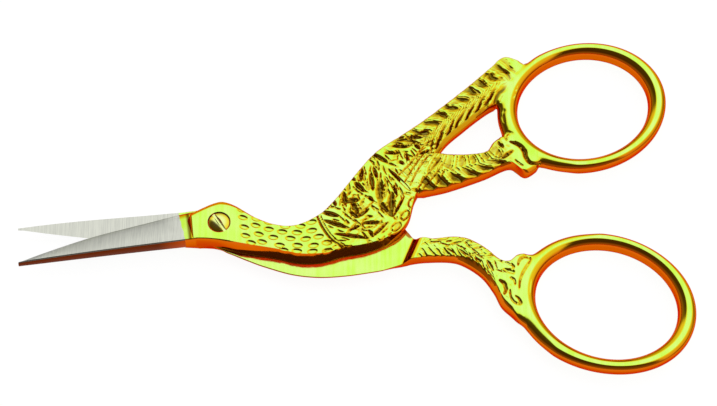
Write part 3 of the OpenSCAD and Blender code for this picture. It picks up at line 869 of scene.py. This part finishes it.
frontScrolls = [
    ([[38.69, 12.65], [39.5, 12.32], [40.16, 11.89], [40.66, 11.05], [40.87, 10.21], [41.37, 9.45],
      [42.11, 9.37], [42.93, 9.62]], 0.72, 0.3),
    ([[38.39, 12.74], [38.23, 13.42], [38.71, 13.92], [39.38, 13.84]], 0.4, 0.16),
    ([[39.3, 9.9], [39.9, 9.3], [40.5, 8.9]], 0.4, 0.14),
    ([[38.1, 15.5], [37.9, 16.6], [38.2, 17.6]], 0.45, 0.14)]


# Small chisel cuts that fill the ground between the leaves and lie along the nearest one,
# but keep clear of every middle
def smallLeaves(leaves, count, seed):
    draw = np.random.default_rng(seed)
    found = []
    middles = np.array([[(a + c) / 2, (b + d) / 2] for a, b, c, d, _ in leaves])
    while len(found) < count:
        base = leaves[draw.integers(len(leaves))]
        spot = middles[leaves.index(base)] + draw.uniform(-1.5, 1.5, 2)
        gaps = np.hypot(*(middles - spot).T) - 0.35
        others = [math.hypot(spot[0] - (a + c) / 2, spot[1] - (b + d) / 2) for a, b, c, d, _ in found]
        if gaps.min() < 0.15 or (others and min(others) < 0.4):
            continue
        angle = math.atan2(base[3] - base[1], base[2] - base[0]) + draw.uniform(-0.35, 0.35)
        half = draw.uniform(0.45, 1.0)
        dx, dy = half * math.cos(angle), half * math.sin(angle)
        found.append([spot[0] - dx, spot[1] - dy, spot[0] + dx, spot[1] + dy, draw.uniform(0.17, 0.3)])
    return found


# Adds the fanned lines, then uneven ground with chisel strokes, rougher inside the cuts
def hammered(x, y, depth, carved, cuts):
    for line in fanLines:
        depth = np.maximum(depth, lineCuts(x, y, line, 0.3, cuts["fanDepth"], 0.8))
    ground = 0.5 * grain(x, y, 0.55, 3) + 0.5 * grain(x, y, 0.3, 4)
    pick = smoothStep(-0.3, 0.3, grain(x, y, 2.2, 8))
    chisel = pick * strokes(x, y, 62, 1.5, 0.3, 11) + (1 - pick) * strokes(x, y, -28, 1.3, 0.28, 12)
    chisel = chisel + 0.6 * strokes(x, y, 20, 0.9, 0.22, 13)
    depth = depth + carved * (cuts["grainDepth"] * (0.6 + 0.6 * ground) + cuts["strokeDepth"] * chisel)
    depth = depth + cuts["roughDepth"] * grain(x, y, 0.24, 5) * smoothStep(0.1, 0.25, depth)
    return np.clip(depth, 0, None)


def carveFront(piece, cuts):
    p = readPoints(piece)
    x, y = p[:, 0], p[:, 1]
    top, station, across = (readAttribute(piece, name) for name in ("top", "station", "across"))
    depth = leafCuts(x, y, bodyLeaves + wingLeaves, cuts["leafDepth"], cuts["wall"])
    depth = np.maximum(depth, leafCuts(x, y, shallowLeaves, cuts["shallowDepth"], cuts["wall"]))
    fill = smallLeaves(bodyLeaves + wingLeaves, cuts["fillCount"], cuts["fillSeed"])
    inside = smoothStep(0.0, 0.5, x - 13.6 - 0.35 * (1 - y))
    depth = np.maximum(depth, inside * leafCuts(x, y, fill, cuts["fillDepth"], cuts["wall"]))
    depth = np.maximum(depth, lineCuts(x, y, neckBorder, 0.34, cuts["borderDepth"], 0.3))
    turn = np.linspace(0, 2 * math.pi, 13)
    u, v = 0.78 * np.cos(turn), 0.42 * np.sin(turn)
    for px, py, degrees in edgeScales:
        c, s = math.cos(math.radians(degrees)), math.sin(math.radians(degrees))
        oval = np.column_stack([px + u * c - v * s, py + u * s + v * c])
        near = np.hypot(x - px, y - py) < 1.05
        depth = np.where(near, lineCuts(x, y, oval, 0.26, cuts["ovalDepth"], 0.0), depth)
    second = [[px + 0.42, py + 0.12] for px, py in neckBorder]
    depth = np.maximum(depth, lineCuts(x, y, second, 0.2, cuts["borderDepth"] * 0.5, 0.3))
    ends = 1 - smoothStep(38.3, 39.2, x - 0.25 * (y - 22))
    carved = smoothStep(13.4, 14.6, x - 0.35 * (y + 3)) * ends
    depth = hammered(x, y, depth, carved, cuts) * top
    p[:, 2] -= depth
    writePoints(piece, p)
    # Painted shade along the wing's wall by the window, noted as depth for the metal's colour
    onWindow = (top < 0.5) * (p[:, 2] > 2.98) * (across < 0)
    band = between(station, 14.55, 14.75, 16.7, 17.0) * onWindow
    putAttribute(piece, "depth", np.maximum(depth, cuts["windowShade"] * band))
    # The barbs start on a slant, as far along the wing as q says, and the scales end there
    q = x * 0.731 + y * 0.682
    start = 28.6 - np.clip(across, 0, 3) * 1.1
    putAttribute(piece, "barbs", top * between(q, start - 0.5, start + 0.3, 44.6, 45.6))
    putAttribute(piece, "scales", top * (1 - smoothStep(16.5, 17, x)))


def carveFrontLeg(piece, cuts):
    p = readPoints(piece)
    x, y = p[:, 0], p[:, 1]
    top = readAttribute(piece, "top")
    depth = leafCuts(x, y, legLeaves, cuts["legDepth"], cuts["wall"])
    depth = hammered(x, y, depth, between(x, 24.5, 26.5, 38.6, 39.4), cuts) * top
    p[:, 2] -= depth
    writePoints(piece, p)
    putAttribute(piece, "depth", depth)
    putAttribute(piece, "barbs", top * between(x, 25.6, 26.6, 37.4, 38.6))


# Points that the scale tree reads, each with its turn and size
def scaleSpots(name):
    mesh = bpy.data.meshes.new(name)
    mesh.from_pydata([[x, y, 0] for x, y in neckScales], [], [])
    piece = newObject(name, mesh)
    leans = [math.radians(-14 if x < 6 else -6 if x < 11 else 8) for x, _ in neckScales]
    putAttribute(piece, "turn", leans)
    putAttribute(piece, "size", [0.9 + 0.012 * x for x, _ in neckScales])
    return piece


frontHalf = makeStrip("frontStrip", frontShape)
carveFront(frontHalf, frontCuts)
useTree(frontHalf, barbs, frontBarbs)
spots = scaleSpots("scaleSpots")
useTree(frontHalf, scales, {**neckPunch, "Scale points": spots})
bakeModifiers(frontHalf)
frontLeg = makeStrip("frontLeg", frontLegShape)
carveFrontLeg(frontLeg, frontCuts)
useTree(frontLeg, barbs, frontLegBarbs)
bakeModifiers(frontLeg)
combine(frontHalf, [
    frontLeg, makeRing("upperRing", upperRing),
    makeBlade("lowerBlade", frontBlade, levels["frontLow"], 1)], "UNION")
combine(frontHalf, [
    makePeg("frontBore", 2.06, 1.0, 5.5), makePeg("headSeat", 3.06, 3.45, 5.5)], "DIFFERENCE")
softenSeam(frontHalf, upperRing)
cutScrolls(frontHalf, frontScrolls)
frontHalf.name = "frontHalf"
bpy.data.objects.remove(spots)
finishPiece(frontHalf, "front", "front_half", creaseAngle)

rearShape = {
    "upper": [
        [-4.6, 2.6], [-2.4, 2.9], [0.2, 3.1], [2.6, 2.0], [5.0, 0.2], [8.0, -1.4], [11.5, -2.0],
        [15.5, -1.6], [19.5, -0.4], [22.6, 0.6], [24.1, 0.6], [25.0, -0.4], [26.1, -1.6],
        [28.2, -1.7], [31.2, -1.4], [33.2, -1.8], [35.3, -3.1],
        [37.1, -4.7], [38.4, -4.9], [39.6, -4.0], [41.7, -3.8]],
    "lower": [
        [-4.6, -2.4], [-2.6, -2.4], [-0.7, -2.7], [1.2, -3.1], [3.6, -4.05], [6.6, -5.2], [10.0, -6.25],
        [13.5, -6.65], [17.0, -6.45], [20.0, -6.0], [21.75, -5.69], [23.15, -5.39], [24.68, -5.08],
        [27.2, -4.7], [30.6, -4.7], [32.6, -5.4], [34.7, -7.0],
        [36.2, -9.2], [37.2, -11.3], [38.7, -12.85], [40.4, -14.8]],
    "lows": [[0, 0.945], [1, 0.5], [1.9, 0], [9, 0], [13, 0.875], [19, 0.875], [20, 1.18]],
    "highs": [
        [11.6, 2.1], [11.78, 2.18], [12.0, 2.5], [12.26, 3.2], [12.46, 3.375], [19, 3.375], [20, 3.07]],
    "lowIn": [[1.0, 0.2], [2.4, 0.9], [4.2, 1.6], [9, 1.6], [13, 0.4]],
    "lowDrop": [[1.0, 0.3], [2.4, 0.9], [4.2, 1.9], [9, 1.9], [13, 1.2]],
    "highIn": [[12.65, 0.12], [13, 0.35], [14.2, 0.35], [15.2, 0.85], [17.6, 0.95], [19, 0.7]],
    "highDrop": [[12.65, 0.15], [13, 0.9], [14.2, 0.7], [15.2, 0.8], [17.6, 0.85], [19, 1.0]],
    "farIn": [[12.65, 0.12], [13, 0.4]], "farDrop": [[12.65, 0.15], [13, 1.2]],
    "flat": [[13.5, 0], [14.4, 1], [18, 1], [19, 0]],
    "crown": [[12.8, 0.0], [14, 0.05]],
    "push": [
        [0, -0.15], [1, -0.22], [1.9, -0.22], [3, 0.42], [4.6, 0.55], [7, 0.5], [10, 0.45],
        [11.6, 0.1], [12, 0]],
    "lean": [[1, 0], [1.9, 0.4], [3, 1.05], [4.6, 1.1], [10, 1.1], [11.6, 0.2], [12, 0]],
    "spine": [[0, 0.5], [13, 0.35], [16, 0.5]], "barbWave": 0.2,
    "rowSpacing": [[11, 0.3], [11.5, 0.1], [20, 0.095]], "columns": 54, "underColumns": 10,
}
rearBarbs = {
    "Pitch": 0.95, "Upper slope": -1.4, "Lower slope": -1.0, "Upper depth": 0.08,
    "Lower depth": 0.115, "Cut share": 0.3, "Upper lean": -0.4, "Fine depth": 0.03,
    "Fine lines": 2.0, "Metal": plated}
lowerRing = {
    "root": (41.0, -7.1), "tilt": -20.6, "Long": 10.7, "Short": 8.8, "Swell turn": math.radians(45)}
rearBlade = dict(
    bladeShape, tipHigh=0.5,
    edge=[[-0.5, -2.0], [-3.0, -2.2], [-10.4, -2.1], [-17.4, -1.35], [-22.6, -0.7], [-26.7, -0.1]],
    back=[[-0.5, 2.0], [-3.0, 2.6], [-10.4, 1.95], [-17.4, 1.3], [-22.6, 0.7], [-26.8, 0.1]])
rearCuts = {"leafDepth": 0.17, "fillDepth": 0.1, "fillCount": 30, "fillSeed": 33, "wall": 0.42,
            "grainDepth": 0.025, "strokeDepth": 0.055}
rearLeaves = [
    [37.57, -6.49, 39.33, -7.07, 0.86], [31.69, -3.56, 33.25, -4.73, 0.5],
    [33.85, -4.81, 34.49, -5.39, 0.54], [35.35, -5.17, 36.12, -6.63, 0.6],
    [28.94, -2.23, 30.39, -1.72, 0.4], [30.64, -2.82, 32.3, -2.31, 0.36],
    [33.67, -3.41, 34.73, -3.19, 0.36], [35.63, -4.44, 36.23, -4.29, 0.36],
    [30.11, -3.41, 31.02, -4.0, 0.32]]
rearLines = [
    ([[39.42, -5.9], [39.63, -5.17], [40.24, -4.59], [40.9, -4.66], [41.15, -4.88]], 0.5, 0.2),
    ([[41.15, -5.03], [40.6, -5.9], [40.05, -6.93], [39.63, -8.24], [39.54, -9.4]], 0.4, 0.15),
    ([[36.88, -8.02], [37.52, -8.53], [37.77, -9.4], [37.49, -10.12]], 0.6, 0.22),
    ([[38.29, -9.4], [38.4, -10.56], [38.91, -11.28], [39.69, -11.43], [39.44, -10.7], [38.93, -10.27]],
     0.4, 0.17),
    ([[38.3, -7.6], [38.9, -8.0], [39.0, -8.8]], 0.36, 0.14),
    ([[38.5, -5.6], [38.9, -6.1], [38.6, -6.5]], 0.36, 0.14)]
shadedCorner = [[22.9, 0.75], [24.0, 0.62], [24.8, -0.2], [25.3, -0.9]]


def carveRear(piece, cuts):
    p = readPoints(piece)
    x, y = p[:, 0], p[:, 1]
    top, station = readAttribute(piece, "top"), readAttribute(piece, "station")
    fill = smallLeaves(rearLeaves, cuts["fillCount"], cuts["fillSeed"])
    depth = np.maximum(leafCuts(x, y, rearLeaves, cuts["leafDepth"], cuts["wall"]),
                       leafCuts(x, y, fill, cuts["fillDepth"], cuts["wall"]))
    ground = 0.5 * grain(x, y, 0.6, 6) + 0.5 * grain(x, y, 0.32, 7)
    chisel = strokes(x, y, -35, 1.0, 0.26, 14) + 0.7 * strokes(x, y, 40, 0.9, 0.24, 15)
    carved = between(station, 12.5, 12.65, 18.6, 19.6)
    depth = depth + carved * (cuts["grainDepth"] * (0.6 + 0.8 * ground) + cuts["strokeDepth"] * chisel)
    p[:, 2] -= np.clip(depth, 0, None) * top * smoothStep(12.45, 12.6, station)
    writePoints(piece, p)
    # Painted shade on the crescent's far corner, for the metal's colour only
    corner = smoothStep(0.4, 0.55, lineCuts(x, y, shadedCorner, 2.0, 1.0, 0.2))
    putAttribute(piece, "farCornerShade", corner * (1 - smoothStep(12.3, 12.5, station)) * (p[:, 2] > 2.0))
    putAttribute(piece, "barbs", top * between(station, 12.5, 12.65, 16.2, 17.4))


rearHalf = makeStrip("rearStrip", rearShape)
carveRear(rearHalf, rearCuts)
useTree(rearHalf, barbs, rearBarbs)
bakeModifiers(rearHalf)
combine(rearHalf, [
    makeRing("lowerRing", lowerRing),
    makeBlade("upperBlade", rearBlade, levels["rearTop"], -1)], "UNION")
combine(rearHalf, [makePeg("rearBore", 2.0, -1.0, 3.0)], "DIFFERENCE")
softenSeam(rearHalf, lowerRing)
cutScrolls(rearHalf, rearLines)
rearHalf.name = "rearHalf"
finishPiece(rearHalf, "rear", "rear_half", creaseAngle)

screw = {"shank": 2.0, "head": 2.96, "seat": 3.5, "rim": 4.1, "dome": 0.475, "low": 0.15,
         "slotWide": 0.42, "slotDeep": 0.55, "slotTurn": -56, "edge": 0.06, "sides": 96,
         "roundness": 2.0, "creaseAngle": 32}


# Turned from its outline: shank, head with a softened rim, dome
def makeScrew():
    r, shank = screw["head"] / 2, screw["shank"] / 2
    low, seat, rim, edge = (screw[key] for key in ("low", "seat", "rim", "edge"))
    outline = [(shank - 0.1, low), (shank, low + 0.1), (shank, seat), (r - 0.05, seat),
               (r, seat + 0.05), (r, rim - edge)]
    for t in np.linspace(0, 1, 5)[1:]:
        outline.append((r - edge * (1 - math.cos(t * math.pi / 2)) * 0.7, rim - edge * (1 - t)))
    for s in np.linspace(outline[-1][0], 0, 24)[1:-1]:
        outline.append((s, rim + screw["dome"] * (1 - (s / r) ** screw["roundness"])))
    turns = np.linspace(0, 2 * math.pi, screw["sides"], endpoint=False)
    rows = [np.column_stack([np.cos(turns) * s, np.sin(turns) * s, np.full(len(turns), z)])
            for s, z in outline]
    piece = meshFromRows("pivotScrew", np.stack(rows))
    piece.data.materials.append(brass)
    return piece


# The slot's near side is worn wider by screwdrivers
def makeSlot():
    w, d = screw["slotWide"] / 2, screw["slotDeep"]
    crown = screw["rim"] + screw["dome"]
    profile = [(-w, crown - d), (w, crown - d), (w, crown - 0.1), (w + 0.12, crown + 0.05),
               (-w - 0.2, crown + 0.05), (-w, crown - 0.14)]
    piece = meshFromRows("slot", np.stack([[[x, y, z] for y, z in profile] for x in (-2.5, 2.5)]))
    piece.data.transform(Matrix.Rotation(math.radians(screw["slotTurn"]), 4, "Z"))
    return piece


pivotScrew = combine(makeScrew(), [makeSlot()], "DIFFERENCE")
finishPiece(pivotScrew, "rear", "pivot_screw", screw["creaseAngle"])

studio = {
    "floorSize": 12.0, "floorColour": "#ffffff", "shadowShare": 0.12,
    "paperGlow": 1.06, "mirrorGlow": 0.6,
    "curtainLean": 7, "curtainTurn": 45, "lowGlow": "#9c9488", "darkRoom": "#4e3f30",
    "clothLow": 0.55, "sideGap": 0.85,
    "lampPlace": (0.05, 0.1, 1.6), "lampTarget": (0.018, 0, 0), "lampSize": 1.6, "lampPower": 6,
    "cameraPlace": (0.018435, -0.19125, 0.38513), "cameraTilt": 27, "cameraLens": 161.9,
}


# White background paper: matt, and lit so evenly that it is white to the camera and in the
# metal's reflections, but for a faint shadow under the scissors
def whiteFloor():
    mesh = bpy.data.meshes.new("studioFloor")
    half = studio["floorSize"] / 2
    corners = [(-half, -half, 0), (half, -half, 0), (half, half, 0), (-half, half, 0)]
    mesh.from_pydata(corners, [], [(0, 1, 2, 3)])
    floor = newObject("studioFloor", mesh)
    floor.location.z = -0.02 * millimetre
    material, add = newMaterial("whiteBackgroundPaper")
    path = add("LightPath").outputs
    mirrored = add("MAXIMUM", path["Is Glossy Ray"], path["Is Transmission Ray"])
    mirrored = add("MULTIPLY", mirrored, studio["mirrorGlow"])
    seen = add("MINIMUM", 1.0, add("ADD", path["Is Camera Ray"], mirrored))
    paper = add("BsdfDiffuse", {"Color": studio["floorColour"]})
    glow = add("Emission", {"Color": studio["floorColour"], "Strength": studio["paperGlow"]})
    share = add("MULTIPLY", seen, 1 - studio["shadowShare"])
    add("OutputMaterial", add("MixShader", share, paper, glow))
    mesh.materials.append(material)


# Bright curtain behind and above the table, dark room in front of it
def studioWorld():
    world = bpy.data.worlds.new("softStudio")
    bpy.context.scene.world = world
    world.use_nodes = True
    world.node_tree.nodes.clear()
    add = partial(addNode, world.node_tree)
    parts = add("SeparateXYZ", add("TexCoord").outputs["Generated"]).outputs
    lean, turn = math.radians(studio["curtainLean"]), math.radians(studio["curtainTurn"])
    away = add("ADD", add("MULTIPLY", parts["Y"], math.cos(turn)),
               add("MULTIPLY", parts["X"], math.sin(turn)))
    side = add("ADD", add("MULTIPLY", away, math.cos(lean)),
               add("MULTIPLY", parts["Z"], math.sin(lean)))
    halved = add("ADD", add("MULTIPLY", side, 0.5), 0.5)
    curtain = add("ValToRGB", halved, stops=[(0.47, 0.0), (0.56, 1.0)])
    curtain.color_ramp.interpolation = "EASE"
    low = add("ValToRGB", parts["Z"], stops=[(0.25, studio["lowGlow"]), (0.6, studio["darkRoom"])])
    cloth = add("ValToRGB", parts["Z"], stops=[(0.04, studio["clothLow"]), (0.4, 1.0)])
    # The curtain's end on the right lets the dark room be seen below it
    gap = add("MULTIPLY", add("ValToRGB", parts["X"], stops=[(0.78, 0.0), (0.86, 1.0)]),
              add("ValToRGB", parts["Z"], stops=[(0.16, 1.0), (0.34, 0.0)]))
    drawn = add("SUBTRACT", 1.0, add("MULTIPLY", gap, studio["sideGap"]))
    hung = add("MULTIPLY", curtain, drawn)
    colour = add("Mix", {0: hung, 6: low, 7: cloth}, data_type="RGBA").outputs[2]
    add("OutputWorld", add("Background", {"Color": colour, "Strength": 1.0}))


# Wide soft lamp over the paper, left out of the metal's reflections
def softLamp():
    light = bpy.data.lights.new("paperLamp", "AREA")
    light.shape, light.size, light.energy = "DISK", studio["lampSize"], studio["lampPower"]
    lamp = newObject("paperLamp", light)
    lamp.location = studio["lampPlace"]
    aim = Vector(studio["lampTarget"]) - Vector(studio["lampPlace"])
    lamp.rotation_mode = "QUATERNION"
    lamp.rotation_quaternion = aim.to_track_quat("-Z", "Y")
    lamp.visible_glossy = False


def photoCamera():
    camera = newObject("camera", bpy.data.cameras.new("camera"))
    camera.location = studio["cameraPlace"]
    camera.rotation_euler = (math.radians(studio["cameraTilt"]), 0, 0)
    camera.data.lens, camera.data.sensor_width = studio["cameraLens"], 36
    camera.data.sensor_fit = "HORIZONTAL"
    camera.data.clip_start, camera.data.clip_end = 0.01, 50
    bpy.context.scene.camera = camera


whiteFloor()
studioWorld()
softLamp()
photoCamera()
print("stork scissors: studio, lamp and camera set")
bpy.context.scene.view_settings.view_transform = "Standard"

print("stork scissors: ready")
